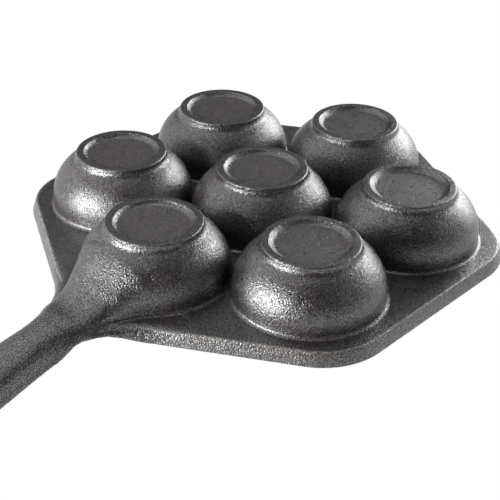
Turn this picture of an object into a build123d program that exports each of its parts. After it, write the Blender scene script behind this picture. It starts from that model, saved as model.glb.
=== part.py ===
"""Cast-iron pan with seven round cups, turned over: it lies on its rim with its feet up.

The origin is on the plane of the rim, at the middle cup's axis. +Z runs out of that plane towards
the feet, and the handle lies along -Y. Lengths are in millimetres, angles in degrees.
"""
from build123d import *
import math
import os

# The plate is a hexagon whose corners point along the six outer cups
cup_pitch = 70.0  # between the axes of neighbouring cups
plate_margin = 8.0  # from the outer cups to the plate's flat edges
plate_corner_radius = 32.0  # at the rim's edge
plate_height = 6.6  # from the rim's edge to the outside of the deck
plate_draft = 9.0  # the lean of the plate's edge
rim_width = 5.5  # the lip round the deck, at its edge
rim_depth = 2.4  # how far the lip stands past the cooking face
edge_round = 0.6

# Each cup stands on the deck as a shell that rounds in to its foot
cup_clearance = 0.2  # between the flares of neighbouring cups
cup_flare = 0.9  # the small fillet where the wall meets the deck
cup_waist = 5.0  # where the wall starts to round in, above the deck
cup_height = 24.3  # from the deck to the plane that the foot stands on
cup_floor = 3.1  # the iron between the hollow and the foot
mouth_radius = 29.8  # the hollow's radius where it meets the deck
mouth_round = 1.2  # on the mouth's edge, on the cooking side

# Each foot is a shallow dish with a rounded bead round it
foot_width = 43.6
foot_ledge = 0.3  # the step from the cup's wall in to the foot
foot_height = 2.96
foot_recess = 1.9  # from the bead's land down to the dish's floor
foot_bead = 5.2  # from the bead's outside in to the dish's floor
foot_land = 1.2  # the flat top of the bead
foot_land_place = 0.33  # the share of the slopes beside it that lies outside it
foot_lean = 0.35  # how far the bead's outside leans in
foot_fillet = 0.9

# The handle drops below the rim's plane in an S and ends in a round eye
neck_width = 21.6  # at the rim's edge
neck_blend_radius = 47.0  # from the plate's flats into the neck
neck_turn = 22.5  # the angle up the blend at which the handle starts
arch_rise = 3.4  # of the hollow under the neck, over the rim's plane
arch_span = 35.0
arch_lead = 3.6  # from the handle's start to the arch's crest
handle_length = 129.5  # from its start to its tip
handle_width = 36.0  # at the eye
handle_slope = 10.8
handle_turn_radius = 32.0  # where the handle starts to drop
handle_level_radius = 295.0  # where it levels out again
neck_band = 6.0  # the height of the handle's sides where it starts
neck_crown = 5.1  # the rise of the oval top over the sides
grip_band = 8.4  # the same two at the eye
grip_crown = 3.6
handle_arris = 0.8
eye_radius = 6.0
eye_round = 1.2

# The saddle flows from the handle's crown up to the nearest cup
saddle_side_radius = 35.0  # where its foot turns out from the handle's crown
saddle_spread = 30.0  # the angle that its foot then opens at, on each side
saddle_start = 2.4  # how far out along the handle its top line starts to rise
saddle_climb = 0.71  # the share of the cup's height at which its top line meets the wall
saddle_depth = 12.0  # how far it runs on inside the cup's wall
saddle_cover = 0.8  # how far it stays under the cup's surface there
saddle_fullness = 0.9  # the shoulders of its section, where 0.92 is an oval
saddle_swell = 0.38  # what they gain midway
saddle_sections = 9
handle_shares = (0.0, 0.04, 0.08, 0.16, 0.28, 0.42, 0.58, 0.74, 0.88, 1.0)

overrun = 5.0  # how far each cut runs past what it cuts

# What follows from the sizes above
half_hex_angle = 30.0
cup_foot_radius = (cup_pitch - cup_clearance) / 2
plate_apothem = cup_pitch * math.cos(math.radians(half_hex_angle)) + cup_foot_radius + plate_margin
cup_wall_radius = cup_foot_radius - cup_flare
foot_radius = foot_width / 2
cup_neck_radius = foot_radius + foot_ledge
cup_bulge = (cup_height - cup_waist) / math.sqrt(1 - (cup_neck_radius / cup_wall_radius) ** 2)
neck_level = plate_height + cup_height
hollow_height = cup_height - cup_floor
corner_y = -(plate_apothem - neck_width / 4) / math.cos(math.radians(half_hex_angle))
neck_y = corner_y - neck_blend_radius * math.tan(math.radians(half_hex_angle))
neck_lead = neck_blend_radius * math.sin(math.radians(neck_turn))
handle_y = neck_y + neck_lead
eye_y = handle_y - handle_length + handle_width / 2
saddle_end = -cup_pitch - cup_wall_radius + saddle_depth
saddle_level = neck_band + neck_crown - plate_height
saddle_rise = saddle_climb * cup_height - saddle_level
saddle_meet_radius = cup_wall_radius * math.sqrt(1 - ((saddle_climb * cup_height - cup_waist) / cup_bulge) ** 2)
saddle_meet_y = -cup_pitch - saddle_meet_radius
saddle_run = saddle_meet_y - handle_y + saddle_start
saddle_crown_radius = (saddle_run**2 + saddle_rise**2) / (2 * saddle_rise)
arch_radius = (arch_span**2 / 4 + arch_rise**2) / (2 * arch_rise)
arch_y = handle_y + arch_lead

MIDDLE_CUP = "middle"
OUTER_CUPS = ("by_handle", "near_right", "far_right", "far", "far_left", "near_left")  # a sixth of a turn apart


def cup_place(name):
    """The place of a cup's axis on the rim's plane."""
    if name == MIDDLE_CUP:
        return Location((0, 0, 0))
    steps = OUTER_CUPS.index(name)
    return Rot(0, 0, 2 * half_hex_angle * steps) * Pos(0, -cup_pitch, 0) * Location()


def lean_at(height):
    """How far the plate's edge has leaned in at a height over the rim's plane."""
    return height * math.tan(math.radians(plate_draft))


def hexagon(apothem, corner_radius):
    """A hexagon with rounded corners, one of which points along -Y."""
    face = RegularPolygon(apothem, 6, major_radius=False, rotation=half_hex_angle)
    return fillet(face.vertices(), corner_radius)


def polar(radius, angle):
    turn = math.radians(angle)
    return Vector(radius * math.cos(turn), radius * math.sin(turn))


def neck_half(radius_change, y):
    """Half the neck's width at a place on the blends, whose radius the lean changes."""
    radius = neck_blend_radius + radius_change
    return neck_width / 2 - radius_change + radius - math.sqrt(radius**2 - max(y - neck_y, 0) ** 2)


def plate_outline(height):
    """The plate's outline with the stub that carries the handle, at a height over the rim's plane."""
    lean = lean_at(height)
    apothem = plate_apothem - lean
    corner_radius = plate_corner_radius - lean
    blend_radius = neck_blend_radius + lean
    blend_centre = Vector(neck_width / 2 + neck_blend_radius, neck_y)
    corner_reach = (apothem - corner_radius) / math.cos(math.radians(half_hex_angle))
    turn = math.degrees(math.asin(neck_lead / blend_radius))
    flat_end = 90 + half_hex_angle
    start = blend_centre + polar(blend_radius, 180 - turn)
    middle = blend_centre + polar(blend_radius, (180 - turn + flat_end) / 2)
    last = blend_centre + polar(blend_radius, flat_end)
    edges = [ThreePointArc(start, middle, last)]
    for corner in range(5):
        angle = (2 * corner - 1) * half_hex_angle
        centre = polar(corner_reach, angle)
        first = centre + polar(corner_radius, angle - half_hex_angle)
        second = centre + polar(corner_radius, angle)
        third = centre + polar(corner_radius, angle + half_hex_angle)
        edges.append(Line(last, first))
        edges.append(ThreePointArc(first, second, third))
        last = third
    mirrored = [Vector(-point.X, point.Y) for point in (blend_centre + polar(blend_radius, flat_end), middle, start)]
    edges.append(Line(last, mirrored[0]))
    edges.append(ThreePointArc(*mirrored))
    edges.append(Line(mirrored[2], start))
    return Pos(0, 0, height) * make_face(edges)


def plate_blank():
    """The whole plate with its leaning edge, rounded at the rim and at the deck."""
    blank = loft([plate_outline(0), plate_outline(plate_height)], ruled=True)
    flat_ends = blank.faces().filter_by(Axis.Z)
    outer = [edge for face in flat_ends for edge in face.edges() if abs(edge.center().Y - handle_y) > edge_round]
    return fillet(outer, edge_round)


def deck_blank(low, high):
    """The space inside the lip, between two heights."""
    face = hexagon(plate_apothem - rim_width, plate_corner_radius - rim_width)
    return Pos(0, 0, low) * extrude(face, high - low)


def arch():
    """The space under the neck, where the rim's edge and the handle's underside curve up."""
    return Pos(0, arch_y, arch_rise - arch_radius) * Rot(0, 90, 0) * Cylinder(arch_radius, plate_apothem)


def rim():
    """The leaning edge band with its lip and the stub of the handle, hollowed under the neck."""
    band = plate_blank() - deck_blank(-overrun, plate_height + overrun)
    lip = band.faces().filter_by(Axis.Z).sort_by(Axis.Z)[0].inner_wires()[0].edges()
    return fillet(lip, edge_round) - arch()


def deck():
    """The plate inside the band, with a mouth for each cup."""
    plate = deck_blank(rim_depth, plate_height)
    for name in (MIDDLE_CUP, *OUTER_CUPS):
        plate -= cup_place(name) * Cylinder(mouth_radius, 2 * plate_height + 2 * overrun)
    mouths = plate.edges().filter_by(GeomType.CIRCLE).group_by(Axis.Z)[0]
    mouths = [edge for edge in mouths if abs(edge.radius - mouth_radius) < edge_round]
    return fillet(mouths, mouth_round)


def cup_wall():
    """The outside of a cup, as a chain of edges from the deck up to the foot."""
    top_share = (cup_height - cup_waist) / cup_bulge
    turn = cup_flare * math.sin(math.pi / 4)
    flare = ThreePointArc(
        (cup_foot_radius, 0),
        (cup_foot_radius - turn, cup_flare - turn),
        (cup_wall_radius, cup_flare),
    )
    sweep = math.degrees(math.asin(top_share))
    bulge = EllipticalCenterArc((0, cup_waist), cup_wall_radius, cup_bulge, arc_size=sweep)
    return [flare, Line((cup_wall_radius, cup_flare), (cup_wall_radius, cup_waist)), bulge]


def turned(edges, level):
    """The solid that a half section sweeps round the Z axis, set at a height."""
    face = Plane.XZ * make_face(edges)
    return Pos(0, 0, level) * revolve(face, Axis.Z)


def cup_blank():
    """A cup filled solid, standing on the deck."""
    edges = [Line((0, 0), (cup_foot_radius, 0)), *cup_wall()]
    edges.append(Line((cup_neck_radius, cup_height), (0, cup_height)))
    edges.append(Line((0, cup_height), (0, 0)))
    return turned(edges, plate_height)


def cup():
    """A cup's shell, open at the deck."""
    edges = [Line((mouth_radius, 0), (cup_foot_radius, 0)), *cup_wall()]
    edges.append(Line((cup_neck_radius, cup_height), (0, cup_height)))
    edges.append(Line((0, cup_height), (0, hollow_height)))
    edges.append(EllipticalCenterArc((0, 0), mouth_radius, hollow_height, arc_size=90))
    return turned(edges, plate_height)


def foot():
    """The dish and bead that the pan stands on when it is in use."""
    floor = foot_height - foot_recess
    land_out = foot_radius - foot_lean - (foot_bead - foot_land) * foot_land_place
    profile = Polyline(
        (0, 0),
        (foot_radius, 0),
        (foot_radius - foot_lean, foot_height - foot_fillet),
        (land_out, foot_height),
        (land_out - foot_land, foot_height),
        (foot_radius - foot_bead, floor),
        (0, floor),
        close=True,
    )
    face = make_face(profile)
    rounded = [
        vertex
        for vertex in face.vertices()
        if vertex.X > foot_radius - foot_bead - foot_ledge and vertex.Y > floor / 2
    ]
    face = fillet(rounded, foot_fillet)
    return Pos(0, 0, neck_level) * revolve(Plane.XZ * face, Axis.Z)


def handle_drop(run):
    """How far the handle has dropped at a distance from its start, in an S of two arcs and a straight."""
    slope = math.radians(handle_slope)
    first = handle_turn_radius * math.sin(slope)
    last = handle_level_radius * math.sin(slope)
    length = handle_y - eye_y
    straight = length - first - last
    drop = handle_turn_radius - math.sqrt(handle_turn_radius**2 - min(run, first) ** 2)
    drop += math.tan(slope) * min(max(run - first, 0), straight)
    left = min(max(length - run, 0), last)
    drop += math.sqrt(handle_level_radius**2 - left**2) - handle_level_radius * math.cos(slope)
    return drop


def smooth(share):
    return share * share * (3 - 2 * share)


def eased(share):
    return share * (2 - share)


def handle_face(share, half=False):
    """The handle's section at a share of its way to the eye, or the right half of it."""
    y = handle_y + (eye_y - handle_y) * share
    foot_half = neck_half(0, y) + (handle_width - neck_width) / 2 * smooth(share)
    band = neck_band + (grip_band - neck_band) * eased(share)
    rise = neck_crown + (grip_crown - neck_crown) * eased(share)
    top_half = foot_half - lean_at(band)
    inner = 0 if half else -foot_half
    edges = [Line((inner, 0), (foot_half, 0)), Line((foot_half, 0), (top_half, band))]
    if half:
        edges.append(EllipticalCenterArc((0, band), top_half, rise, arc_size=90))
        edges.append(Line((0, band + rise), (0, 0)))
    else:
        edges.append(EllipticalCenterArc((0, band), top_half, rise, arc_size=180))
        edges.append(Line((-top_half, band), (-foot_half, 0)))
    face = make_face(edges)
    low = [vertex for vertex in face.vertices() if vertex.Y < band / 2 and abs(vertex.X) > foot_half / 2]
    return fillet(low, handle_arris)


def handle_plane(share):
    """The upright plane of the handle's section at a share of its way to the eye."""
    run = (handle_y - eye_y) * share
    return Plane(origin=(0, handle_y - run, -handle_drop(run)), x_dir=(1, 0, 0), z_dir=(0, -1, 0))


def eye_cutter():
    """The eye's bore with a rounded flare at each end."""
    low = -handle_drop(handle_y - eye_y)
    high = low + grip_band + grip_crown
    wide = eye_radius + eye_round
    turn = eye_round * math.sin(math.pi / 4)
    edges = [
        Line((0, low - overrun), (wide, low - overrun)),
        Line((wide, low - overrun), (wide, low)),
        ThreePointArc((wide, low), (wide - turn, low + eye_round - turn), (eye_radius, low + eye_round)),
        Line((eye_radius, low + eye_round), (eye_radius, high - eye_round)),
        ThreePointArc((eye_radius, high - eye_round), (wide - turn, high - eye_round + turn), (wide, high)),
        Line((wide, high), (wide, high + overrun)),
        Line((wide, high + overrun), (0, high + overrun)),
        Line((0, high + overrun), (0, low - overrun)),
    ]
    return Pos(0, eye_y, 0) * turned(edges, 0)


def handle():
    """The handle from the neck to its round end, with its crown, S-shaped drop and eye."""
    bar = loft([handle_plane(share) * handle_face(share) for share in handle_shares])
    round_end = revolve(Plane.XZ * handle_face(1.0, half=True), Axis.Z, -180)
    low = -handle_drop(handle_y - eye_y)
    return bar + Pos(0, eye_y, low) * round_end - eye_cutter() - arch()


def saddle_half(y):
    """Half the width of the saddle's foot: an arc that turns out from the handle and then a straight."""
    run = y - handle_y
    angle = math.radians(saddle_spread)
    turned_in = saddle_side_radius * math.sin(angle)
    reach = min(run, turned_in)
    start = neck_half(0, handle_y) - lean_at(neck_band)
    half = start + saddle_side_radius - math.sqrt(saddle_side_radius**2 - reach**2)
    return half + max(run - turned_in, 0) * math.tan(angle)


def saddle_height(y):
    """The saddle's height over the deck: an arc that rises until it meets the cup's wall, then just inside."""
    if y < saddle_meet_y:
        run = y - handle_y + saddle_start
        return saddle_level + saddle_crown_radius - math.sqrt(saddle_crown_radius**2 - run**2)
    radius = max(abs(y + cup_pitch), cup_neck_radius)
    return cup_waist + cup_bulge * math.sqrt(1 - (radius / cup_wall_radius) ** 2) - saddle_cover


def saddle_face(share):
    """A bell-shaped section of the saddle, standing on the deck's plane."""
    y = handle_y + (saddle_end - handle_y) * share
    half = saddle_half(y)
    height = saddle_height(y)
    pull = height * 4 / 3  # lifts the two inner poles so that the curve's top is at the height
    side = half * (saddle_fullness + saddle_swell * math.sin(math.pi * share))
    bell = Bezier((half, 0), (side, pull), (-side, pull), (-half, 0))
    place = Plane(origin=(0, y, plate_height), x_dir=(1, 0, 0), z_dir=(0, -1, 0))
    return place * make_face([Line((-half, 0), (half, 0)), bell])


def saddle():
    """The blend that carries the handle's crown up the side of the nearest cup."""
    sections = [saddle_face(step / (saddle_sections - 1)) for step in range(saddle_sections)]
    return loft(sections) - cup_place("by_handle") * cup_blank()


def main():
    parts = {"deck": deck(), "rim": rim(), "handle": handle(), "handle_root": saddle()}
    one_cup = cup()
    one_foot = foot()
    for name in (MIDDLE_CUP, *OUTER_CUPS):
        parts["cup_" + name] = cup_place(name) * one_cup
        parts["foot_" + name] = cup_place(name) * one_foot
    os.makedirs("parts", exist_ok=True)
    for name, solid in parts.items():
        export_step(solid, "parts/" + name + ".step")
    print(len(parts), "nodes, the handle starts at", round(handle_y, 2), "and its eye is at", round(eye_y, 2))
    print("drop", round(handle_drop(handle_y - eye_y), 2), "height", round(neck_level + foot_height, 2))


if __name__ == "__main__":
    main()
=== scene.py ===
"""Looks for the cast-iron pan with seven round cups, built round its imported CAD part.

The plane z = 0 holds the rim's edge, +Z runs towards the ring feet and the handle lies along -Y.
Lengths are in metres and angles in radians. The file is laid out as an add-on and run as a script.
"""
import math

import bpy
import numpy as np
from bpy.props import FloatProperty, FloatVectorProperty, PointerProperty
from mathutils import Matrix, Vector
from mathutils.geometry import delaunay_2d_cdt


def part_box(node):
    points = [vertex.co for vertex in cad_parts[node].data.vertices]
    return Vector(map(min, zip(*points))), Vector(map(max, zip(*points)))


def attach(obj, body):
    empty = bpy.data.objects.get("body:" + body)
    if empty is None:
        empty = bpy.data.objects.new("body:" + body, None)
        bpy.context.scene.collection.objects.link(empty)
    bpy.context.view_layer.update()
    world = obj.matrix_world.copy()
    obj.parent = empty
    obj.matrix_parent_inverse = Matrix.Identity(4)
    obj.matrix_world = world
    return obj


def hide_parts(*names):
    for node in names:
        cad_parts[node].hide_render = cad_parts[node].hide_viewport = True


bl_info = {
    "name": "Round pancake pan looks",
    "version": (1, 0, 0),
    "blender": (4, 5, 0),
    "location": "View3D > Sidebar > Pan",
    "description": "Builds a cast-iron pan for round pancakes, turned over, and its studio",
    "category": "Add Mesh",
}

MM = 0.001
BODY = "root"
MIDDLE_CUP = "middle"
OUTER_CUPS = ("by_handle", "near_right", "far_right", "far", "far_left", "near_left")
CUPS = (MIDDLE_CUP, *OUTER_CUPS)

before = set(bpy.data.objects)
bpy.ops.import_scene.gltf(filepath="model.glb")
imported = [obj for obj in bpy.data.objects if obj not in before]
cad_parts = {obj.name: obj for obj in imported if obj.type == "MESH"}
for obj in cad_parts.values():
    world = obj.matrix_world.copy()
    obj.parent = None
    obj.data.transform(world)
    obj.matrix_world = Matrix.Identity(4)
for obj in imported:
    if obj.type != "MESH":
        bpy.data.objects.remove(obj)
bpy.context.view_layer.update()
DECK_LOW, DECK_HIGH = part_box("deck")
RIM_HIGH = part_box("rim")[1]
CUP_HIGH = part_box("cup_" + MIDDLE_CUP)[1]
FOOT_LOW, FOOT_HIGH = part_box("foot_" + MIDDLE_CUP)
HANDLE_LOW, HANDLE_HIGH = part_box("handle")
NEAR_CUP_LOW, NEAR_CUP_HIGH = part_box("cup_by_handle")

COOK_LEVEL = DECK_LOW.z
DECK_LEVEL = DECK_HIGH.z
NECK_LEVEL = FOOT_LOW.z
FOOT_LEVEL = FOOT_HIGH.z
CUP_PITCH = -(NEAR_CUP_LOW.y + NEAR_CUP_HIGH.y) / 2
HANDLE_START = HANDLE_HIGH.y
SIXTH = math.pi / 3


# Sizes, colours and lamps that a user can change


def metres(name, description, default):
    """A property that holds a length."""
    return FloatProperty(name=name, description=description, default=default, unit="LENGTH")


def degrees(name, description, default):
    """A property that holds an angle. Its default is given in degrees."""
    default = math.radians(default)
    return FloatProperty(name=name, description=description, default=default, subtype="ANGLE")


def radiance(name, default):
    """A property that holds how bright a soft box is."""
    description = f"Radiance of the {name.lower()} soft box"
    return FloatProperty(name=f"{name} level", description=description, default=default)


class PanPlateSizes(bpy.types.PropertyGroup):
    """The six-sided plate, its leaning edge and its lip."""

    half_width: metres("Half width", "From the middle to a flat", RIM_HIGH.x + 0.1 * MM)
    corner_radius: metres("Corner radius", "Round of the six corners", 32 * MM)
    draft: degrees("Draft", "Lean of the edge", 18.5)
    spread: metres("Spread", "Of the edge's foot past the solids'", 1.5 * MM)
    arris: metres("Arris", "Round between deck and edge", 0.9 * MM)
    edge_round: metres("Edge round", "Round at the rim's edge", 0.6 * MM)
    lip_width: metres("Lip width", "Of the lip on the cooking side", 7.2 * MM)
    lip_fillet: metres("Lip fillet", "Fillet inside the lip", 1.0 * MM)
    shoulder_width: metres("Shoulder width", "Of the deck's slope at the neck", 3.6 * MM)
    shoulder_drop: metres("Shoulder drop", "Fall of the slope at the neck", 0.8 * MM)
    shoulder_reach: metres("Shoulder reach", "Where the slope fades", 62 * MM)


class PanCupSizes(bpy.types.PropertyGroup):
    """A cup with its hollow and its ring foot."""

    wall_radius: metres("Wall radius", "Outside, over the flare", CUP_HIGH.x - 0.8 * MM)
    flare: metres("Flare", "Fillet where the wall meets the deck", 1.6 * MM)
    waist: metres("Waist", "Where the wall starts to round in", 5 * MM)
    neck_radius: metres("Neck radius", "Of the wall at the foot", FOOT_HIGH.x + 0.3 * MM)
    mouth_radius: metres("Mouth radius", "The hollow at the deck", 29.8 * MM)
    mouth_round: metres("Mouth round", "Round of the hollow's mouth", 1.2 * MM)
    floor_thickness: metres("Floor thickness", "Iron between hollow and foot", 3.1 * MM)
    foot_recess: metres("Foot recess", "Depth of the dish in the foot", 1.9 * MM)
    foot_bead: metres("Foot bead", "Width of the ring round the dish", 5.2 * MM)
    foot_round: metres("Foot round", "Round of the ring's edges", 0.8 * MM)
    dish_fillet: metres("Dish fillet", "Fillet between ring and dish", 3.2 * MM)
    neck_fillet: metres("Neck fillet", "Fillet between wall and foot", 3.8 * MM)


class PanHandleSizes(bpy.types.PropertyGroup):
    """The handle, its neck and the saddle that climbs the nearest cup."""

    neck_width: metres("Neck width", "At its narrowest", 21.6 * MM)
    blend_radius: metres("Blend radius", "From the plate's flats into the neck", 47 * MM)
    grip_width: metres("Grip width", "At the eye", 36 * MM)
    slope: degrees("Slope", "Of the falling stretch", 10.8)
    turn_radius: metres("Turn radius", "Where the handle starts to fall", 32 * MM)
    level_radius: metres("Level radius", "Where it levels out", 295 * MM)
    neck_band: metres("Neck band", "Height of the sides at the neck", 6.0 * MM)
    neck_crown: metres("Neck crown", "Rise of the crown at the neck", 5.1 * MM)
    grip_band: metres("Grip band", "Height of the sides at the eye", 8.4 * MM)
    grip_crown: metres("Grip crown", "Rise of the crown at the eye", 3.6 * MM)
    ledge: metres("Ledge", "Shoulder beside the crown at the neck", 1.2 * MM)
    ledge_reach: metres("Ledge reach", "How far out the shoulder fades", 30 * MM)
    arris: metres("Arris", "Round along the handle's sides", 1.4 * MM)
    valley: metres("Valley", "Fillet beside the crown and round the saddle", 2.0 * MM)
    arch_rise: metres("Arch rise", "Hollow under the neck", 3.3 * MM)
    arch_out: metres("Arch out", "From the handle's start out to the hollow's end", 15 * MM)
    arch_in: metres("Arch in", "From the handle's start in to the hollow's end", 20 * MM)
    arch_ramp: metres("Arch ramp", "Length of the hollow's two slopes", 14 * MM)
    eye_radius: metres("Eye radius", "Of the hang hole", 6 * MM)
    eye_round: metres("Eye round", "Round of the hang hole's edge", 1.2 * MM)
    saddle_foot: metres("Saddle foot", "Half width where the handle starts", 13.4 * MM)
    saddle_side_radius: metres("Saddle side radius", "Turn of the saddle's foot", 35 * MM)
    saddle_spread: degrees("Saddle spread", "Angle of the foot after its turn", 25)
    saddle_crown_radius: metres(
        "Saddle crown radius", "The arc in which its top line starts to rise", 22 * MM
    )
    saddle_ramp: degrees("Saddle ramp", "Slope of its top line where it meets the cup", 42.5)
    saddle_start: metres("Saddle start", "How far out its top line starts to rise", 1.0 * MM)
    saddle_hollow: metres("Saddle hollow", "How much lower its top line meets the cup", 0.7 * MM)
    saddle_dive: FloatProperty(
        name="Saddle dive",
        description="How fast its top line dives under the cup's wall, per metre",
        default=220.0,
    )
    saddle_blend: metres("Saddle blend", "Fillet between saddle and cup", 3 * MM)


class PanIronFinish(bpy.types.PropertyGroup):
    """The seasoned iron."""

    colour: FloatVectorProperty(
        name="Iron", description="The seasoned skin", default=(0.0115, 0.0068, 0.0078), subtype="COLOR"
    )
    # A lighter grey: the colour of the lightest random specks, and of the painted highlights on arrises
    # and creases and the painted reflections on the edge band and in the dishes
    speck_and_painted_light_colour: FloatVectorProperty(
        name="Worn iron",
        description="Bare grey on arrises and creases",
        default=(0.24, 0.23, 0.21),
        subtype="COLOR",
    )
    roughness: FloatProperty(name="Roughness", description="Of the skin", default=0.3, subtype="FACTOR")
    speckle: FloatProperty(
        name="Speckle",
        description="How much the gloss varies from grain to grain",
        default=0.34,
        subtype="FACTOR",
    )
    speckle_size: metres("Speckle size", "Of the grains that differ in gloss", 0.5 * MM)
    grain_size: metres("Grain size", "Of the fine sand grain", 0.7 * MM)
    grain_depth: metres("Grain depth", "Of the fine sand grain", 0.28 * MM)
    ripple_size: metres("Ripple size", "Of the slow unevenness", 3.2 * MM)
    ripple_depth: metres("Ripple depth", "Of the slow unevenness", 0.07 * MM)


class PanStudio(bpy.types.PropertyGroup):
    """The floor, the lamps and the camera."""

    key_level: radiance("Key", 15.0)
    back_level: radiance("Back", 8.0)
    side_level: radiance("Side", 0.3)
    left_level: radiance("Left", 1.25)
    top_level: radiance("Top", 0.95)
    right_level: radiance("Right", 0.6)
    fill_level: FloatProperty(name="Fill level", description="Radiance of the world", default=0.04)
    floor_colour: FloatVectorProperty(
        name="Floor", description="Colour of the floor", default=(1.0, 1.0, 1.0), subtype="COLOR"
    )
    camera_target: FloatVectorProperty(
        name="Camera target",
        description="The point it looks at",
        default=(47.09 * MM, -58.92 * MM, 33.853 * MM),
        unit="LENGTH",
    )
    camera_azimuth: degrees("Camera azimuth", "From -Y towards +X", 42.57)
    camera_elevation: degrees("Camera elevation", "Over the rim's plane", 31.71)
    camera_roll: degrees("Camera roll", "Clockwise turn of the picture", 0.96)
    camera_distance: metres("Camera distance", "From the point it looks at", 505.1 * MM)
    camera_lens: FloatProperty(
        name="Camera lens", description="Focal length in millimetres", default=86.436
    )


# Helpers for meshes


def cup_place(name):
    """The place of a cup's axis on the rim's plane."""
    if name == MIDDLE_CUP:
        return Vector((0, 0, 0))
    return Matrix.Rotation(SIXTH * OUTER_CUPS.index(name), 3, "Z") @ Vector((0, -CUP_PITCH, 0))


def smoothstep(value, low, high):
    """Eases from 0 to 1 between low and high."""
    share = np.clip((value - low) / (high - low), 0, 1)
    return share * share * (3 - 2 * share)


def soft_min(first, second, reach):
    """The smaller of two distances, rounded over where they are closer than reach."""
    near = np.maximum(reach - np.abs(first - second), 0) / reach
    return np.minimum(first, second) - near * near * reach / 4


def soft_max(first, second, reach):
    """The larger of two distances, rounded in the same way."""
    return -soft_min(-first, -second, reach)


def rounded_line(corners, radii, steps=6):
    """A polyline of (x, y) corners with an arc at each inner corner whose radius isn't zero."""
    points = [corners[0]]
    for before, corner, after, radius in zip(corners, corners[1:], corners[2:], radii):
        if radius == 0:
            points.append(corner)
            continue
        corner = Vector(corner)
        to_before = (Vector(before) - corner).normalized()
        to_after = (Vector(after) - corner).normalized()
        half = to_before.angle(to_after) / 2
        centre = corner + (to_before + to_after).normalized() * radius / math.sin(half)
        start = corner + to_before * radius / math.tan(half) - centre
        turn = start.angle_signed(corner + to_after * radius / math.tan(half) - centre)
        for step in range(steps + 1):
            arm = start.copy()
            arm.rotate(Matrix.Rotation(-turn * step / steps, 2))
            points.append(tuple(centre + arm))
    points.append(corners[-1])
    return points


def band_faces(row, count, inward):
    """The quads between one closed row of vertices and the next, each with count vertices."""
    near, far = row * count, (row + 1) * count
    quads = []
    for step in range(count):
        following = (step + 1) % count
        if inward:
            quads.append((near + step, far + step, far + following, near + following))
        else:
            quads.append((near + step, near + following, far + following, far + step))
    return quads


def add_piece(name, points, faces, replaced, painted_light=None):
    """A smooth mesh piece that rides on the pan's body and stands for the CAD nodes named."""
    mesh = bpy.data.meshes.new(name)
    mesh.from_pydata([tuple(point) for point in points], [], [tuple(face) for face in faces])
    mesh.validate()
    mesh.shade_smooth()
    # Per point, the share of painted light: a painted highlight or a painted reflection in the lighter
    # grey
    attribute = mesh.attributes.new("painted_light", "FLOAT", "POINT")
    painted_light = np.zeros(len(points)) if painted_light is None else np.asarray(painted_light, float)
    attribute.data.foreach_set("value", painted_light)
    piece = bpy.data.objects.new(name, mesh)
    bpy.context.scene.collection.objects.link(piece)
    piece.data.materials.append(iron_material())
    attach(piece, BODY)
    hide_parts(*replaced)
    return piece


# The seasoned iron: each range is the stretch of a noise that its effect follows

NOISE_TURN = (math.radians(34), math.radians(21), math.radians(52))  # off the pan's own axes
GRAIN_TWIST = 0.25
CLOUD_SIZE = 28 * MM
CLOUD_RANGE = (0.35, 0.65)
CLOUD_DARK = 0.62  # the darker clouds' share of the colour
SPECK_SIZE = 0.9  # of the grain's
SPECK_RANGE = (0.45, 0.7)
SPECK_WORN = 0.16  # how worn the lightest specks are
# The noise that breaks up the painted highlights and reflections
PAINTED_LIGHT_SIZE = 0.9 * MM
PAINTED_LIGHT_RANGE = (0.4, 0.65)
PAINTED_LIGHT_LEAST = 0.2  # how much of the painted light is left where it is most broken
WIDE_RANGE = (0.3, 0.7)  # for gloss and roughness
GLOSS_MIDDLE = 0.5
SMOOTHER, ROUGHER = 0.06, 0.08  # how far the ripple moves the roughness each way
IRON_IOR = 2.1


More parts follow.
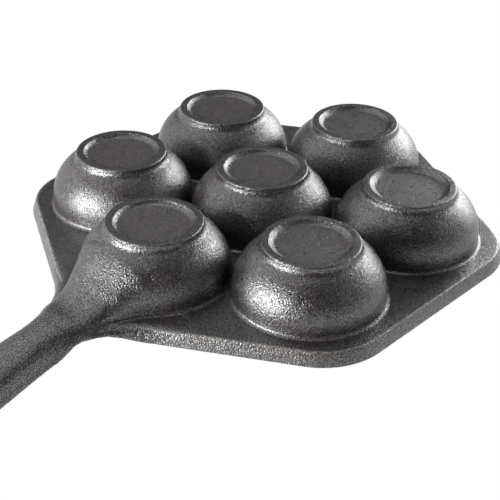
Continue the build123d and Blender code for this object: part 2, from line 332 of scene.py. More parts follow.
def iron_material():
    """Seasoned cast iron: near black, half gloss, with a sand grain, slow ripples and painted highlights
    and reflections where a piece asks for them.
    """
    name = "seasoned_iron"
    if name in bpy.data.materials:
        return bpy.data.materials[name]
    finish = bpy.context.scene.pan_iron
    material = bpy.data.materials.new(name)
    material.use_nodes = True
    nodes, links = material.node_tree.nodes, material.node_tree.links
    shader = nodes["Principled BSDF"]
    place = nodes.new("ShaderNodeTexCoord")
    turned = nodes.new("ShaderNodeMapping")
    turned.inputs["Rotation"].default_value = NOISE_TURN
    links.new(place.outputs["Object"], turned.inputs["Vector"])

    def noise(size, detail, twist=0):
        node = nodes.new("ShaderNodeTexNoise")
        node.inputs["Scale"].default_value = 1 / size
        node.inputs["Detail"].default_value = detail
        node.inputs["Distortion"].default_value = twist
        links.new(turned.outputs["Vector"], node.inputs["Vector"])
        return node.outputs["Fac"]

    def curve(value, span, low, high):
        node = nodes.new("ShaderNodeMapRange")
        node.inputs["From Min"].default_value, node.inputs["From Max"].default_value = span
        node.inputs["To Min"].default_value, node.inputs["To Max"].default_value = low, high
        links.new(value, node.inputs["Value"])
        return node.outputs["Result"]

    def mix(share, first, second):
        node = nodes.new("ShaderNodeMix")
        node.data_type = "RGBA"
        links.new(share, node.inputs["Factor"])
        for socket, colour in (("A", first), ("B", second)):
            if isinstance(colour, bpy.types.NodeSocket):
                links.new(colour, node.inputs[socket])
            else:
                node.inputs[socket].default_value = (*colour, 1)
        return node.outputs["Result"]

    def product(first, second):
        node = nodes.new("ShaderNodeMath")
        node.operation = "MULTIPLY"
        links.new(first, node.inputs[0])
        links.new(second, node.inputs[1])
        return node.outputs["Value"]

    def bump(height, depth, below=None):
        node = nodes.new("ShaderNodeBump")
        node.inputs["Distance"].default_value = depth
        links.new(height, node.inputs["Height"])
        if below:
            links.new(below, node.inputs["Normal"])
        return node.outputs["Normal"]

    grain = noise(finish.grain_size, 1, GRAIN_TWIST)
    ripple = noise(finish.ripple_size, 2)
    dark = tuple(CLOUD_DARK * channel for channel in finish.colour)
    tone = mix(curve(noise(CLOUD_SIZE, 3), CLOUD_RANGE, 0, 1), dark, tuple(finish.colour))
    speck = curve(noise(SPECK_SIZE * finish.grain_size, 1), SPECK_RANGE, 0, SPECK_WORN)
    tone = mix(speck, tone, tuple(finish.speck_and_painted_light_colour))
    # Painted light: the piece's attribute, broken up by a noise, mixes the lighter grey in as painted
    # highlights and painted reflections
    painted_light = nodes.new("ShaderNodeAttribute")
    painted_light.attribute_name = "painted_light"
    broken = product(painted_light.outputs["Fac"], curve(noise(PAINTED_LIGHT_SIZE, 2), PAINTED_LIGHT_RANGE, PAINTED_LIGHT_LEAST, 1))
    links.new(mix(broken, tone, tuple(finish.speck_and_painted_light_colour)), shader.inputs["Base Color"])
    speckle = noise(finish.speckle_size, 0)
    gloss = curve(speckle, WIDE_RANGE, GLOSS_MIDDLE - finish.speckle, GLOSS_MIDDLE + finish.speckle)
    links.new(gloss, shader.inputs["Specular IOR Level"])
    rough = curve(ripple, WIDE_RANGE, finish.roughness - SMOOTHER, finish.roughness + ROUGHER)
    links.new(rough, shader.inputs["Roughness"])
    shader.inputs["IOR"].default_value = IRON_IOR
    waves = bump(ripple, finish.ripple_depth)
    links.new(bump(grain, finish.grain_depth, waves), shader.inputs["Normal"])
    return material


# The shapes that the plate and the handle share


def arch_level(y):
    """The height of the hollow under the neck over the underside round it."""
    sizes = bpy.context.scene.pan_handle
    first, last = HANDLE_START - sizes.arch_out, HANDLE_START + sizes.arch_in
    rising = smoothstep(y, first, first + sizes.arch_ramp)
    return sizes.arch_rise * rising * (1 - smoothstep(y, last - sizes.arch_ramp, last))


def neck_place():
    """Where the neck is narrowest: the centres of its blends lie level with it."""
    sizes = bpy.context.scene.pan_handle
    half_width = bpy.context.scene.pan_plate.half_width
    tilt = SIXTH / 2
    return -(half_width - sizes.neck_width / 4) / math.cos(tilt) - sizes.blend_radius * math.tan(tilt)


def eye_place():
    """Where the middle of the hang hole lies along the handle."""
    return HANDLE_LOW.y + bpy.context.scene.pan_handle.grip_width / 2


def grip_half(y):
    """Half the handle's width on its way from the start to the eye."""
    sizes = bpy.context.scene.pan_handle
    eye = eye_place()
    run = np.maximum(y - neck_place(), 0)
    half = sizes.neck_width / 2 + sizes.blend_radius
    half = half - np.sqrt(np.maximum(sizes.blend_radius**2 - run**2, 0))
    widened = smoothstep(neck_place() - y, 0, neck_place() - eye)
    return half + (sizes.grip_width - sizes.neck_width) / 2 * widened


def outline_distance(x, y):
    """How far a place on the rim's plane is outside the plate and handle, below zero inside."""
    sizes = bpy.context.scene.pan_handle
    plate = bpy.context.scene.pan_plate
    side = np.abs(x)
    eye = eye_place()
    tilt = SIXTH / 2
    flat = side * math.sin(tilt) - y * math.cos(tilt) - plate.half_width
    centre_x = sizes.neck_width / 2 + sizes.blend_radius
    centre_y = neck_place()
    blend = sizes.blend_radius - np.hypot(side - centre_x, y - centre_y)
    on_flat = (centre_x - side) < (y - centre_y) * math.tan(tilt)
    grip = side - grip_half(y)
    end = np.hypot(x, y - eye) - sizes.grip_width / 2
    inner = np.where(y < eye, end, np.where(y < centre_y, grip, np.where(on_flat, flat, blend)))
    return inner - plate.spread


def deck_top(x, y):
    """The deck's outside, which slopes down to its edge near the neck."""
    plate = bpy.context.scene.pan_plate
    inset = -outline_distance(x, y) - DECK_LEVEL * math.tan(plate.draft)
    slope = 1 - smoothstep(inset, 0, plate.shoulder_width)
    near = 1 - smoothstep(np.hypot(x, y - HANDLE_START), plate.shoulder_reach / 2, plate.shoulder_reach)
    return DECK_LEVEL - plate.shoulder_drop * slope * near


# The plate

CORNER_STEPS = 18
FLAT_STEPS = 16
MOUTH_STEPS = 96
COOK_FLAT = 3 * MM  # from the lip in to where both faces of the deck run flat
SHOULDER_SHARES = (0.85, 0.7, 0.55, 0.4)  # places of the extra rows on the deck's slope
SAME_PLACE = 1e-7  # points nearer than this are one
INSIDE_MOUTH = 0.999  # of a mouth's radius: faces nearer the middle are left out
# Shares of the lighter grey: a painted highlight along the deck's arris and a painted reflection of the
# floor on the leaning edge
ARRIS_PAINTED_HIGHLIGHT = 0.8
BAND_PAINTED_REFLECTION = 0.3
SMOOTH_LIMIT = math.radians(40)


def pointing(angle):
    """The unit vector at an angle from +X."""
    return Vector((math.cos(angle), math.sin(angle)))


def hexagon_loop(inset):
    """A rounded hexagon inside the plate's edge, as (x, y) points that match from inset to inset."""
    plate = bpy.context.scene.pan_plate
    reach = (plate.half_width - plate.corner_radius) / math.cos(SIXTH / 2)
    radius = plate.corner_radius - inset
    points = []
    for corner in range(6):
        middle = corner * SIXTH - math.pi / 2
        centre = pointing(middle) * reach
        for step in range(CORNER_STEPS + 1):
            angle = middle + SIXTH * (step / CORNER_STEPS - 0.5)
            points.append(centre + pointing(angle) * radius)
        following = pointing(middle + SIXTH) * reach
        normal = pointing(middle + SIXTH / 2) * radius
        for step in range(1, FLAT_STEPS):
            points.append(centre.lerp(following, step / FLAT_STEPS) + normal)
    return points


def ring_points(centre, radius):
    """A mouth's circle as (x, y) points."""
    turns = [math.tau * step / MOUTH_STEPS for step in range(MOUTH_STEPS)]
    return [(centre.x + radius * math.cos(turn), centre.y + radius * math.sin(turn)) for turn in turns]


def add_cap(points, faces, loop, level, hole_radius, upward):
    """Fills a loop of vertices round the seven mouths, and returns each mouth's vertices."""
    flat = [(points[index][0], points[index][1]) for index in loop]
    borders = [[step, (step + 1) % len(loop)] for step in range(len(loop))]
    ids = list(loop)
    mouths = []
    for name in CUPS:
        first = len(points)
        ring = ring_points(cup_place(name), hole_radius)
        offset = len(flat)
        flat.extend(ring)
        borders.extend([offset + step, offset + (step + 1) % len(ring)] for step in range(len(ring)))
        points.extend((x, y, level) for x, y in ring)
        mouths.append(list(range(first, first + len(ring))))
        ids.extend(mouths[-1])
    made = delaunay_2d_cdt([Vector(place) for place in flat], borders, [], 1, SAME_PLACE)
    places, triangles = made[0], made[2]
    origin = [ids[sources[0]] for sources in made[3]]
    centres = [cup_place(name).xy for name in CUPS]
    for face in triangles:
        middle = sum((places[corner] for corner in face), Vector((0, 0))) / len(face)
        if any((middle - centre).length < hole_radius * INSIDE_MOUTH for centre in centres):
            continue
        corners = [origin[corner] for corner in face]
        faces.append(corners if upward else corners[::-1])
    return mouths


class PAN_OT_plate(bpy.types.Operator):
    """Builds the six-sided plate with its leaning edge, its lip and seven mouths."""

    bl_idname = "pan.plate"
    bl_label = "Plate"

    def execute(self, context):
        plate = context.scene.pan_plate
        cups = context.scene.pan_cups
        lean = DECK_LEVEL * math.tan(plate.draft)
        inner = plate.lip_width + COOK_FLAT
        corners = [
            (inner, DECK_LEVEL),
            (lean + plate.shoulder_width, DECK_LEVEL),
            (lean, DECK_LEVEL),
            (0, 0),
            (plate.lip_width, 0),
            (plate.lip_width, COOK_LEVEL),
            (inner, COOK_LEVEL),
        ]
        radii = (0, plate.arris, plate.edge_round, plate.edge_round, plate.lip_fillet)
        profile = rounded_line(corners, radii)
        profile[2:2] = [(lean + plate.shoulder_width * share, DECK_LEVEL) for share in SHOULDER_SHARES]
        points, faces, painted_light = [], [], []
        for inset, level in profile:
            for place in hexagon_loop(inset - plate.spread):
                height = level
                if level > DECK_LEVEL / 2:
                    share = min(1, (level - DECK_LEVEL / 2) / (DECK_LEVEL / 2 - plate.arris))
                    height += (float(deck_top(place.x, place.y)) - DECK_LEVEL) * share
                if level < COOK_LEVEL:
                    share = 1 - level / COOK_LEVEL
                    height += float(arch_level(place.y)) * share
                points.append((place.x, place.y, height))
                # Painted light: a painted highlight on the arris and a painted reflection on the leaning
                # edge
                on_arris = abs(inset - lean - plate.arris / 3) < plate.arris / 2
                on_arris = on_arris and level > DECK_LEVEL - plate.arris
                on_band = inset < lean and level > 0
                painted_light.append(ARRIS_PAINTED_HIGHLIGHT if on_arris else BAND_PAINTED_REFLECTION if on_band else 0.0)
        count = len(points) // len(profile)
        for row in range(len(profile) - 1):
            faces.extend(band_faces(row, count, True))
        hidden = cups.wall_radius - cups.flare
        plug = cups.mouth_radius + cups.mouth_round
        top = add_cap(points, faces, list(range(count)), DECK_LEVEL, hidden, True)
        last = range((len(profile) - 1) * count, len(profile) * count)
        low = add_cap(points, faces, list(last), COOK_LEVEL, plug, False)
        for upper, lower in zip(top, low):
            for step in range(len(upper)):
                following = (step + 1) % len(upper)
                faces.append((upper[step], upper[following], lower[following], lower[step]))
        painted_light.extend([0.0] * (len(points) - len(painted_light)))
        piece = add_piece("plate", points, faces, ("deck", "rim"), painted_light)
        piece.data.set_sharp_from_angle(angle=SMOOTH_LIMIT)
        return {"FINISHED"}


# The cups

TURN_STEPS = 180
HOLLOW_STEPS = 28
FLARE_STEPS = 8
WALL_STEPS = 40
FILLET_STEPS = 8
NECK_STEPS = 6  # the last steps of the wall, which the neck's fillet takes up
SKIRT_DEPTH = 1 * MM  # how far under the deck's outside the cup's buried edge lies
SKIRT_SINK = 0.03 * MM  # how far under it the flare ends
FOOT_CLEAR = 0.1 * MM  # how far the foot stands out past the CAD's
FOOT_BASE = (0.25 * MM, 0.3 * MM)  # where its side starts: out from it, and under the wall's top
FOOT_LEAN = 0.1 * MM  # how far its side leans in
BEAD_SLOPE = 1.6 * MM  # the width of the ring's inner slope
DISH_MIDDLE = 8 * MM  # the radius of the dish's flat middle
CREASE_PLACE = 0.25  # where the painted highlight along the crease at the deck lies, as a share of the flare
CREASE_WIDTH = 0.3  # its width, as a share of the flare
# Shares of the lighter grey: a painted highlight along the crease and a painted reflection that lightens
# each dish
CREASE_PAINTED_HIGHLIGHT = 0.35
DISH_PAINTED_REFLECTION = 0.25


def bulge_height():
    """The height over the waist at which the cup's oval would close."""
    cups = bpy.context.scene.pan_cups
    rise = NECK_LEVEL - DECK_LEVEL - cups.waist
    return rise / math.sqrt(1 - (cups.neck_radius / cups.wall_radius) ** 2)


def cup_section():
    """A cup's half section from the hollow's middle round the mouth to the deck, and its wall."""
    cups = bpy.context.scene.pan_cups
    hollow = NECK_LEVEL - DECK_LEVEL - cups.floor_thickness
    points = []
    for step in range(HOLLOW_STEPS + 1):
        angle = math.pi / 2 * (1 - step / HOLLOW_STEPS)
        points.append((cups.mouth_radius * math.cos(angle), DECK_LEVEL + hollow * math.sin(angle)))
    plug = cups.mouth_radius + cups.mouth_round
    wide = cups.wall_radius + cups.flare
    mouth = [points[-1], (cups.mouth_radius, COOK_LEVEL), (plug + cups.mouth_round, COOK_LEVEL)]
    points.extend(rounded_line(mouth, (cups.mouth_round,))[1:-1])
    points.append((plug, DECK_LEVEL - SKIRT_DEPTH))
    points.append((wide, DECK_LEVEL - SKIRT_SINK))
    for step in range(1, FLARE_STEPS + 1):
        angle = math.pi / 2 * step / FLARE_STEPS
        rise = cups.flare * (1 - math.cos(angle))
        points.append((wide - cups.flare * math.sin(angle), DECK_LEVEL + rise))
    top_turn = math.asin((NECK_LEVEL - DECK_LEVEL - cups.waist) / bulge_height())
    wall = []
    for step in range(WALL_STEPS + 1):
        angle = top_turn * step / WALL_STEPS
        level = DECK_LEVEL + cups.waist + bulge_height() * math.sin(angle)
        wall.append((cups.wall_radius * math.cos(angle), level))
    return points, wall


def foot_section(start, before):
    """The foot's half section: neck fillet, ring and dish, from the end of the wall to the middle."""
    cups = bpy.context.scene.pan_cups
    radius = FOOT_HIGH.x + FOOT_CLEAR
    floor = FOOT_LEVEL - cups.foot_recess
    corners = [
        before,
        (radius + FOOT_BASE[0], start[1] - FOOT_BASE[1]),
        (radius - FOOT_LEAN, FOOT_LEVEL),
        (radius - cups.foot_bead + BEAD_SLOPE, FOOT_LEVEL),
        (radius - cups.foot_bead, floor),
        (DISH_MIDDLE, floor),
        (0, floor),
    ]
    radii = (cups.neck_fillet, cups.foot_round, cups.foot_round, cups.dish_fillet, 0)
    return rounded_line(corners, radii, FILLET_STEPS)


def turn_section(section, centre):
    """The mesh of a half section turned round an upright axis, where its first and last points lie."""
    count = TURN_STEPS
    rings = np.array(section[1:-1])
    angles = np.linspace(0, math.tau, count, endpoint=False)
    x = centre.x + rings[:, :1] * np.cos(angles)
    y = centre.y + rings[:, :1] * np.sin(angles)
    z = np.repeat(rings[:, 1:], count, axis=1)
    points = np.stack([x, y, z], axis=-1).reshape(-1, 3)
    poles = [(centre.x, centre.y, section[end][1]) for end in (0, -1)]
    points = np.vstack([points, *poles])
    faces = []
    for row in range(len(rings) - 1):
        faces.extend(band_faces(row, count, False))
    first, last = len(points) - 2, len(points) - 1
    base = (len(rings) - 1) * count
    for step in range(count):
        following = (step + 1) % count
        faces.append((first, following, step))
        faces.append((last, base + step, base + following))
    return points, faces


class PAN_OT_cups(bpy.types.Operator):
    """Turns the seven cups with their hollows and ring feet."""

    bl_idname = "pan.cups"
    bl_label = "Cups"

    def execute(self, context):
        lower, wall = cup_section()
        foot = foot_section(wall[-1], wall[-NECK_STEPS])
        section = lower + wall[:-NECK_STEPS] + foot
        cups = context.scene.pan_cups
        for name in CUPS:
            points, faces = turn_section(section, cup_place(name))
            level = points[:, 2]
            span = np.hypot(points[:, 0] - cup_place(name).x, points[:, 1] - cup_place(name).y)
            # Painted light: a painted highlight along the crease where the flare meets the deck, and a
            # painted reflection in each dish
            crease = (level - DECK_LEVEL - CREASE_PLACE * cups.flare) / (CREASE_WIDTH * cups.flare)
            crease = np.exp(-(crease**2)) * (span > cups.wall_radius)
            dish = (level > NECK_LEVEL) & (span < FOOT_HIGH.x - cups.foot_bead)
            painted_light = CREASE_PAINTED_HIGHLIGHT * crease + DISH_PAINTED_REFLECTION * dish
            add_piece("cup_" + name + "_iron", points, faces, ("cup_" + name, "foot_" + name), painted_light)
        return {"FINISHED"}


# The handle with its root: stretches along Y run inwards from the handle's start

DECK_JOIN = (-2 * MM, 8 * MM)  # where the handle's top becomes the deck
CROWN_JOIN = (-6 * MM, 4 * MM)  # where the crown's width becomes the saddle's
POWER_JOIN = (-4 * MM, 12 * MM)  # where the oval section fills out
CROWN_POWER = 2.05  # 2 is an ellipse
SADDLE_POWER = 0.75  # what the saddle's section gains
HOLLOW_START = 2 * MM  # where the saddle's top line starts to sink
ARRIS_FADE = (20 * MM, 36 * MM)  # from the middle, where the handle's arris becomes the plate's
ARRIS_REACH = 1.6  # a soft edge's reach for each part of its radius
LOWER_ROUND = 1.2 * MM  # the reach of the soft edge underneath
SLAB_EDGE = 5 * MM  # the solid slab's width inside the plate's edge
SLAB_END = -109 * MM  # where the slab ends and the thin cover starts
COOK_GAP = 0.3 * MM  # how far the thin cover's underside stays over the cooking face
LEAST_RISE = 0.5 * MM  # of the crown over its foot
LEAST_SHARE = 0.05  # these three keep divisions away from zero
LEAST_RIDGE_SLOPE = 1e-6
LEAST_CUP_SLOPE = 1e-3

# The thin cover that the handle's skin lays on the cup and deck near it
COVER_RISE = 0.03 * MM  # how far it stands out over them
COVER_DIVE = 0.15 * MM  # how far it falls at its borders, so that it ends under them
COVER_FADE = (37 * MM, 48 * MM)  # where it falls, from the handle's start
COVER_FADE_LEVEL = (26 * MM, 29 * MM)  # where it falls, in height
COVER_REACH = 54 * MM  # where it ends, from the handle's start
COVER_TOP = 30 * MM  # where it ends, in height
COVER_THICKNESS = 1.6 * MM
CUP_BASE = 1 * MM  # how far under the deck's outside the filled cup ends

# The grid in which the handle's skin is found
NET_STEP = 0.8 * MM
NET_SIDE = 56 * MM  # its half width
NET_END = -66 * MM  # its inner end
NET_TOP = 31 * MM
NET_ROUNDS = 6  # in which the points are drawn onto the skin
EVEN_ROUNDS = 3  # of which so many first even out the net
SLOPE_REACH = 0.05 * MM  # over which the slope is taken
LEAST_SLOPE_SQUARE = 0.2  # keeps the steps short where the slope fades


def handle_drop(y):
    """How far the handle has dropped, in an S of two arcs and a straight."""
    sizes = bpy.context.scene.pan_handle
    length = HANDLE_START - HANDLE_LOW.y - sizes.grip_width / 2
    run = np.clip(HANDLE_START - y, 0, length)
    first = sizes.turn_radius * math.sin(sizes.slope)
    last = sizes.level_radius * math.sin(sizes.slope)
    drop = sizes.turn_radius - np.sqrt(sizes.turn_radius**2 - np.minimum(run, first) ** 2)
    drop = drop + math.tan(sizes.slope) * np.clip(run - first, 0, length - first - last)
    left = np.clip(length - run, 0, last)
    return drop + np.sqrt(sizes.level_radius**2 - left**2) - sizes.level_radius * math.cos(sizes.slope)


def way_out(y):
    """The share of the way from the handle's start to its eye, eased."""
    eye = eye_place()
    share = np.clip((HANDLE_START - y) / (HANDLE_START - eye), 0, 1)
    return share * (2 - share)


def side_height(y):
    """The height of the leaning sides under the crown."""
    sizes = bpy.context.scene.pan_handle
    return sizes.neck_band + (sizes.grip_band - sizes.neck_band) * way_out(y)


def joined(y, span):
    """Eases from 0 to 1 between two places that are given inwards from the handle's start."""
    return smoothstep(y, HANDLE_START + span[0], HANDLE_START + span[1])


def base_distance(x, y, z, sink):
    """The slab of neck and handle, its hollowed underside and its leaning sides."""
    sizes = bpy.context.scene.pan_handle
    plate = bpy.context.scene.pan_plate
    edge = outline_distance(x, y)
    drop = handle_drop(y)
    local = z + drop
    side = (edge + local * math.tan(plate.draft)) * math.cos(plate.draft) + sink
    band = side_height(y)
    on_deck = joined(y, DECK_JOIN)
    top = (band - drop) * (1 - on_deck) + deck_top(x, y) * on_deck
    sharper = (sizes.arris - plate.arris) * smoothstep(np.abs(x), *ARRIS_FADE)
    arris = np.where(y > HANDLE_START, sizes.arris - sharper, sizes.arris)
    upper = soft_max(side, z - top + sink, arris * ARRIS_REACH)
    bottom = arch_level(y) - drop
    full = soft_max(upper, bottom - z + sink, LOWER_ROUND)
    inner = np.minimum(-(edge + SLAB_EDGE), y - SLAB_END)
    full = np.maximum(full, inner)
    thin = np.maximum(upper, np.maximum(COOK_LEVEL + COOK_GAP, bottom) - z)
    return np.where(y > HANDLE_START, np.minimum(full, thin), full)


def ridge_half(y):
    """Half the width of the crown on the handle and of the saddle's foot on the deck."""
    sizes = bpy.context.scene.pan_handle
    plate = bpy.context.scene.pan_plate
    band = side_height(y)
    ledge = sizes.ledge * (1 - smoothstep(HANDLE_START - y, 0, sizes.ledge_reach))
    crown = grip_half(y) + plate.spread - band * math.tan(plate.draft) - ledge
    run = np.maximum(y - HANDLE_START, 0)
    turned = sizes.saddle_side_radius * math.sin(sizes.saddle_spread)
    reach = np.minimum(run, turned)
    saddle = sizes.saddle_side_radius - np.sqrt(sizes.saddle_side_radius**2 - reach**2)
    saddle = sizes.saddle_foot + saddle + np.maximum(run - turned, 0) * math.tan(sizes.saddle_spread)
    on_deck = joined(y, CROWN_JOIN)
    return crown * (1 - on_deck) + saddle * on_deck


def wall_over(y):
    """The cup's outline in the side view, as a height over its waist."""
    cups = bpy.context.scene.pan_cups
    span = np.minimum(np.abs(y + CUP_PITCH), cups.wall_radius)
    return bulge_height() * np.sqrt(1 - (span / cups.wall_radius) ** 2)


def ridge_top(y):
    """The ridge line: the handle's crown, then the saddle's arc, then just under the cup's wall."""
    sizes = bpy.context.scene.pan_handle
    cups = bpy.context.scene.pan_cups
    band = side_height(y)
    crown = band + sizes.neck_crown + (sizes.grip_crown - sizes.neck_crown) * way_out(y) - handle_drop(y)
    radius = sizes.saddle_crown_radius
    steep = math.tan(sizes.saddle_ramp) * cups.wall_radius / bulge_height()
    meet = -CUP_PITCH - cups.wall_radius * steep / math.hypot(1, steep)
    turned = radius * math.sin(sizes.saddle_ramp)
    run = np.maximum(np.minimum(y, meet) - HANDLE_START + sizes.saddle_start, 0)
    line = crown + radius - np.sqrt(radius**2 - np.minimum(run, turned) ** 2)
    line = line + math.tan(sizes.saddle_ramp) * np.maximum(run - turned, 0)
    line = line - sizes.saddle_hollow * smoothstep(y, HANDLE_START + HOLLOW_START, meet)
    past = np.maximum(y - meet, 0)
    return line + wall_over(np.maximum(y, meet)) - wall_over(meet) - sizes.saddle_dive * past**2


def ridge_distance(x, y, z):
    """The crown of the handle and the saddle: an oval section whose flanks fill out towards the cup."""
    sizes = bpy.context.scene.pan_handle
    eye = eye_place()
    side = np.where(y < eye, np.hypot(x, y - eye), np.abs(x))
    along = np.maximum(y, eye)
    half = ridge_half(along)
    foot = side_height(along) - handle_drop(along)
    rise = np.maximum(ridge_top(along) - foot, LEAST_RISE)
    power = CROWN_POWER + SADDLE_POWER * joined(y, POWER_JOIN)
    across = side / half
    up = np.maximum(z - foot, 0) / rise
    total = np.maximum((across**power + up**power) ** (1 / power), LEAST_SHARE)
    slope = np.hypot((across / total) ** (power - 1) / half, (up / total) ** (power - 1) / rise)
    return np.maximum((total - 1) / np.maximum(slope, LEAST_RIDGE_SLOPE), foot - sizes.valley - z)


def cup_distance(x, y, z):
    """The outside of the cup by the handle, filled solid."""
    cups = bpy.context.scene.pan_cups
    span = np.hypot(x, y + CUP_PITCH)
    over = (z - DECK_LEVEL - cups.waist) / bulge_height()
    upper = np.hypot(span / cups.wall_radius, over)
    slope = np.hypot(span / cups.wall_radius**2, over / bulge_height()) / np.maximum(upper, LEAST_SHARE)
    return np.where(over > 0, (upper - 1) / np.maximum(slope, LEAST_CUP_SLOPE), span - cups.wall_radius)


def skin_distance(points):
    """How far points are outside the handle, its root and the thin cover on the cup and deck."""
    sizes = bpy.context.scene.pan_handle
    x, y, z = points[..., 0], points[..., 1], points[..., 2]
    away = np.hypot(x, y - HANDLE_START)
    far = smoothstep(away, *COVER_FADE)
    high = smoothstep(z, *COVER_FADE_LEVEL)
    sink = -COVER_RISE + COVER_DIVE * np.maximum(far, high)
    cup = cup_distance(x, y, z)
    filled_cup = np.maximum(cup, DECK_LEVEL - CUP_BASE - z)
    body = soft_min(ridge_distance(x, y, z), filled_cup, sizes.saddle_blend) + sink
    skin = soft_min(body, base_distance(x, y, z, sink), sizes.valley)
    skin = np.maximum(skin, -(cup + COVER_THICKNESS))
    skin = np.maximum(skin, away * (y > HANDLE_START) - COVER_REACH)
    skin = np.maximum(skin, z - COVER_TOP)
    bore = sizes.eye_radius - np.hypot(x, y - eye_place())
    return soft_max(skin, bore, sizes.eye_round * 2)


def surface_net(field, low, step):
    """The points and quads of the zero level in a grid of distances: one point in each mixed cell."""
    inside = field < 0
    shape = tuple(size - 1 for size in field.shape)

    def corner(array, offset):
        return array[tuple(slice(start, start + size) for start, size in zip(offset, shape))]

    offsets = [(i, j, k) for i in (0, 1) for j in (0, 1) for k in (0, 1)]
    count = sum(corner(inside, offset).astype(np.int8) for offset in offsets)
    cells = np.argwhere((count > 0) & (count < 8))
    total = np.zeros((len(cells), 3))
    crossings = np.zeros(len(cells))
    for offset in offsets:
        for axis in range(3):
            if offset[axis]:
                continue
            end = list(offset)
            end[axis] = 1
            first = field[tuple((cells + offset).T)]
            second = field[tuple((cells + end).T)]
            crossed = (first < 0) != (second < 0)
            share = np.where(crossed, first / np.where(crossed, first - second, 1), 0)
            place = np.array(offset, float)[None, :].repeat(len(cells), 0)
            place[:, axis] += share
            total += place * crossed[:, None]
            crossings += crossed
    points = low + (cells + total / crossings[:, None]) * step
    index = -np.ones(shape, int)
    index[tuple(cells.T)] = np.arange(len(cells))
    quads = []
    for axis in range(3):
        one, two = [other for other in range(3) if other != axis]
        ends = [slice(None)] * 3
        ends[axis] = slice(0, -1)
        starts = [slice(None)] * 3
        starts[axis] = slice(1, None)
        lower, upper = inside[tuple(ends)], inside[tuple(starts)]
        edges = np.argwhere(lower != upper)
        keep = (edges[:, one] > 0) & (edges[:, two] > 0)
        keep &= (edges[:, one] < shape[one]) & (edges[:, two] < shape[two])
        edges = edges[keep]
        around = []
        for back_one, back_two in ((1, 1), (0, 1), (0, 0), (1, 0)):
            cell = edges.copy()
            cell[:, one] -= back_one
            cell[:, two] -= back_two
            around.append(index[tuple(cell.T)])
        quad = np.stack(around, axis=1)
        flip = lower[tuple(edges.T)]
        if axis == 1:
            flip = ~flip
        quad[~flip] = quad[~flip][:, ::-1]
        quads.append(quad)
    return points, np.vstack(quads)


def slope_at(points, reach):
    """The distance field's slope at some points, by differences."""
    slope = np.zeros_like(points)
    for axis in range(3):
        step = np.zeros(3)
        step[axis] = reach
        slope[:, axis] = (skin_distance(points + step) - skin_distance(points - step)) / (2 * reach)
    return slope


def evened(points, quads):
    """The points drawn halfway to the middle of their neighbours, so that the net runs evenly."""
    total = np.zeros_like(points)
    count = np.zeros(len(points))
    for start in range(4):
        for side in (1, 3):
            np.add.at(total, quads[:, start], points[quads[:, (start + side) % 4]])
            np.add.at(count, quads[:, start], 1)
    middle = total / np.maximum(count, 1)[:, None]
    return np.where(count[:, None] > 0, (points + middle) / 2, points)


class PAN_OT_handle(bpy.types.Operator):
    """Grows the handle, its neck and the saddle as one smooth skin."""

    bl_idname = "pan.handle"
    bl_label = "Handle and root"

    def execute(self, context):
        low = np.array([-NET_SIDE, HANDLE_LOW.y - 2 * NET_STEP, HANDLE_LOW.z - 2 * NET_STEP])
        high = np.array([NET_SIDE, NET_END, NET_TOP])
        axes = [np.arange(start, end, NET_STEP) for start, end in zip(low, high)]
        grid = np.stack(np.meshgrid(*axes, indexing="ij"), axis=-1)
        points, quads = surface_net(skin_distance(grid), low, NET_STEP)
        for turn in range(NET_ROUNDS):
            if turn < EVEN_ROUNDS:
                points = evened(points, quads)
            slope = slope_at(points, SLOPE_REACH)
            size = np.maximum((slope**2).sum(1), LEAST_SLOPE_SQUARE)
            move = slope * (skin_distance(points) / size)[:, None]
            points = points - np.clip(move, -NET_STEP / 2, NET_STEP / 2)
        add_piece("handle_and_root", points, quads.tolist(), ("handle", "handle_root"))
        return {"FINISHED"}


# The stage

# The lamps: azimuth from -Y towards +X and elevation in degrees, width, height and distance in metres
SOFT_BOXES = {
    "key": (-15, 11.5, 0.46, 0.29, 0.6),
    "back": (178, 17, 0.75, 0.5, 1.0),
    "side": (-137, 36, 0.55, 0.45, 1.0),
    "left": (-75, 30, 0.65, 0.85, 0.9),
    "top": (-70, 74, 1.0, 0.8, 0.9),
    "right": (125, 32, 0.7, 0.7, 0.9),
}
FLOOR_HALF = 60.0  # far enough for the floor to fill the view from every side
FLOOR_GAP = 0.3 * MM
END_CONTACT = 20 * MM  # from the handle's tip in to where it touches the ground
SENSOR_WIDTH = 36  # in millimetres, as the lens is
NEAREST_VIEW = 10 * MM


def rest_tilt():
    """The lean of the ground that the far corner of the rim and the handle's end both touch."""
    return math.atan2(-HANDLE_LOW.z, RIM_HIGH.y - (HANDLE_LOW.y + END_CONTACT))


def way_to(azimuth, elevation):
    """The unit vector from the pan in a direction."""
    level = math.cos(elevation)
    return Vector((math.sin(azimuth) * level, -math.cos(azimuth) * level, math.sin(elevation)))


def add_soft_box(name, away, width, height, distance, level):
    """An area lamp that faces the pan from the direction away. Its level is a radiance."""
    lamp = bpy.data.lights.new(name, "AREA")
    lamp.shape = "RECTANGLE"
    lamp.size = width
    lamp.size_y = height
    lamp.energy = level * math.pi * width * height
    holder = bpy.data.objects.new(name, lamp)
    holder.location = away * distance
    holder.visible_camera = False
    holder.rotation_euler = away.to_track_quat("Z", "Y").to_euler()
    bpy.context.scene.collection.objects.link(holder)


def white_to_camera(tree, plain, white):
    """Mixes two shaders so that camera, glossy and transmission rays see the white one."""
    nodes, links = tree.nodes, tree.links
    path = nodes.new("ShaderNodeLightPath")
    seen = path.outputs["Is Camera Ray"]
    for ray in ("Is Glossy Ray", "Is Transmission Ray"):
        either = nodes.new("ShaderNodeMath")
        either.operation = "MAXIMUM"
        links.new(seen, either.inputs[0])
        links.new(path.outputs[ray], either.inputs[1])
        seen = either.outputs["Value"]
    mixed = nodes.new("ShaderNodeMixShader")
    links.new(seen, mixed.inputs["Fac"])
    links.new(plain.outputs[0], mixed.inputs[1])
    links.new(white.outputs[0], mixed.inputs[2])
    return mixed


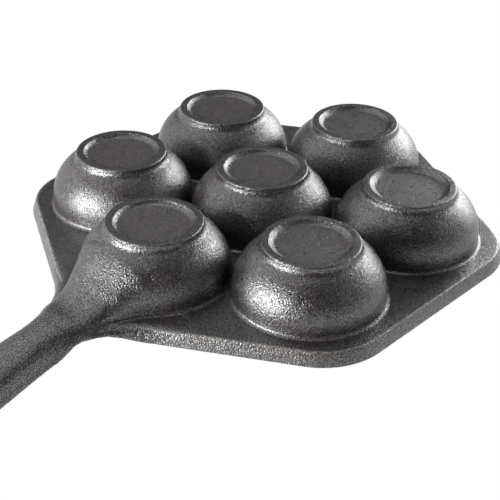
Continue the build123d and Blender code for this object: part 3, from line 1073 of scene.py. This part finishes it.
class PAN_OT_stage(bpy.types.Operator):
    """Sets the white floor, the soft boxes and the camera."""

    bl_idname = "pan.stage"
    bl_label = "Floor, lamps and camera"

    def execute(self, context):
        studio = context.scene.pan_studio
        self.add_floor(context, studio)
        for name, (azimuth, elevation, width, height, distance) in SOFT_BOXES.items():
            away = way_to(math.radians(azimuth), math.radians(elevation))
            level = getattr(studio, name + "_level")
            add_soft_box(name + "_soft_box", away, width, height, distance, level)
        world = bpy.data.worlds.new("studio")
        world.use_nodes = True
        context.scene.world = world
        sky = world.node_tree.nodes["Background"]
        sky.inputs["Color"].default_value = (1, 1, 1, 1)
        sky.inputs["Strength"].default_value = studio.fill_level
        self.add_camera(context, studio)
        context.scene.view_settings.view_transform = "Standard"
        return {"FINISHED"}

    def add_floor(self, context, studio):
        """A floor that the camera sees as white, under the rim and the handle's end."""
        tilt = rest_tilt()
        mesh = bpy.data.meshes.new("floor")
        corners = [
            (x, RIM_HIGH.y + run * math.cos(tilt), run * math.sin(tilt) - FLOOR_GAP)
            for run in (-FLOOR_HALF, FLOOR_HALF)
            for x in (-FLOOR_HALF, FLOOR_HALF)
        ]
        mesh.from_pydata(corners, [], [(0, 1, 3, 2)])
        floor = bpy.data.objects.new("floor", mesh)
        context.scene.collection.objects.link(floor)
        material = bpy.data.materials.new("white_floor")
        material.use_nodes = True
        tree = material.node_tree
        tree.nodes.clear()
        plain = tree.nodes.new("ShaderNodeBsdfDiffuse")
        plain.inputs["Color"].default_value = (*studio.floor_colour, 1)
        white = tree.nodes.new("ShaderNodeEmission")
        white.inputs["Color"].default_value = (*studio.floor_colour, 1)
        output = tree.nodes.new("ShaderNodeOutputMaterial")
        tree.links.new(white_to_camera(tree, plain, white).outputs[0], output.inputs["Surface"])
        mesh.materials.append(material)

    def add_camera(self, context, studio):
        """The camera, turned about its axis by the roll."""
        back = way_to(studio.camera_azimuth, studio.camera_elevation)
        across = (-back).cross(Vector((0, 0, 1))).normalized()
        up = across.cross(-back)
        roll = studio.camera_roll
        right = across * math.cos(roll) + up * math.sin(roll)
        top = up * math.cos(roll) - across * math.sin(roll)
        camera = bpy.data.cameras.new("camera")
        camera.lens = studio.camera_lens
        camera.sensor_width = SENSOR_WIDTH
        camera.clip_start = NEAREST_VIEW
        holder = bpy.data.objects.new("camera", camera)
        turn = Matrix((right, top, back)).transposed().to_4x4()
        place = Vector(studio.camera_target) + back * studio.camera_distance
        holder.matrix_world = Matrix.Translation(place) @ turn
        context.scene.collection.objects.link(holder)
        context.scene.camera = holder


class PAN_PT_panel(bpy.types.Panel):
    """Lists the pan's pieces and their sizes."""

    bl_label = "Pan"
    bl_idname = "PAN_PT_panel"
    bl_space_type = "VIEW_3D"
    bl_region_type = "UI"
    bl_category = "Pan"

    def draw(self, context):
        for group_name, (group, operator) in GROUPS.items():
            box = self.layout.box()
            for name in group.__annotations__:
                box.prop(getattr(context.scene, group_name), name)
            if operator:
                box.operator(operator.bl_idname)


# Each group of sizes with the operator that builds from it
GROUPS = {
    "pan_plate": (PanPlateSizes, PAN_OT_plate),
    "pan_cups": (PanCupSizes, PAN_OT_cups),
    "pan_handle": (PanHandleSizes, PAN_OT_handle),
    "pan_iron": (PanIronFinish, None),
    "pan_studio": (PanStudio, PAN_OT_stage),
}
CLASSES = [member for row in GROUPS.values() for member in row if member] + [PAN_PT_panel]


def register():
    for member in CLASSES:
        bpy.utils.register_class(member)
    for name, (group, _) in GROUPS.items():
        setattr(bpy.types.Scene, name, PointerProperty(type=group))


def unregister():
    for name in GROUPS:
        delattr(bpy.types.Scene, name)
    for member in reversed(CLASSES):
        bpy.utils.unregister_class(member)


def main():
    register()
    bpy.ops.pan.plate()
    bpy.ops.pan.cups()
    bpy.ops.pan.handle()
    bpy.ops.pan.stage()


if __name__ == "__main__":
    main()
